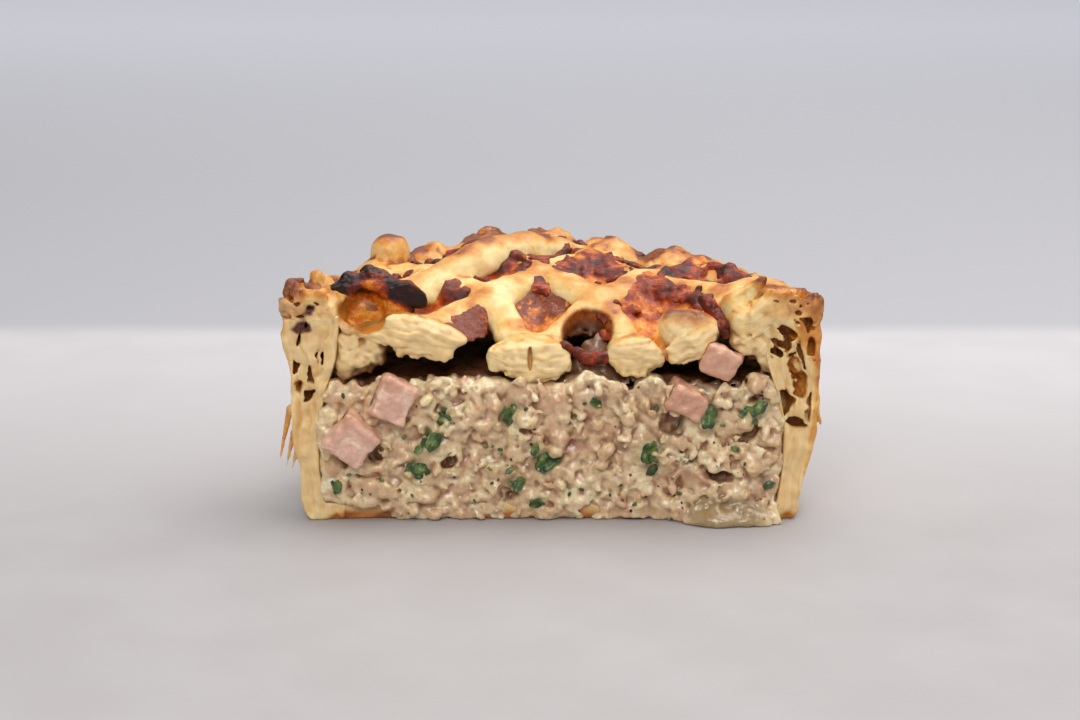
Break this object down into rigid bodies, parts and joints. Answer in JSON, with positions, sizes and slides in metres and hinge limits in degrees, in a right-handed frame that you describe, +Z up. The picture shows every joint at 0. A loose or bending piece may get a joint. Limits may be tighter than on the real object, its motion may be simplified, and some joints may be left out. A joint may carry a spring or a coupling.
{
  "type": "sausage pie",
  "caption": "Half of a small round sausage pie in puff pastry, its cut side showing creamy sausage meat with ham and parsley under a browned lattice lid.",
  "frame": {"origin": "middle of the footprint of the bounding box, on the surface that the half pie stands on", "axes": "+X runs along the cut face, to the right as the cut side is seen; +Y points away from the cut, into the pie; +Z is up"},
  "size_m": [0.1111, 0.0614, 0.0532],
  "materials": {
    "golden_crust": "matt flaky crust",
    "lattice_pastry": "egg-glazed pastry",
    "sausage_filling": "moist crumbly meat",
    "ham": "moist cut meat",
    "browned_cheese": "glossy caramelised bubbles"
  },
  "bodies": {
    "root": {"pastry_case": "golden_crust", "lattice_lid": "lattice_pastry", "filling": "sausage_filling", "ham_1": "ham", "ham_2": "ham", "ham_3": "ham", "ham_4": "ham", "browned_cheese_1": "browned_cheese", "browned_cheese_2": "browned_cheese", "browned_cheese_3": "browned_cheese", "browned_cheese_4": "browned_cheese", "browned_cheese_5": "browned_cheese", "browned_cheese_6": "browned_cheese", "browned_cheese_7": "browned_cheese", "browned_cheese_8": "browned_cheese", "browned_cheese_9": "browned_cheese", "browned_cheese_10": "browned_cheese", "browned_cheese_11": "browned_cheese"}
  },
  "joints": []
}
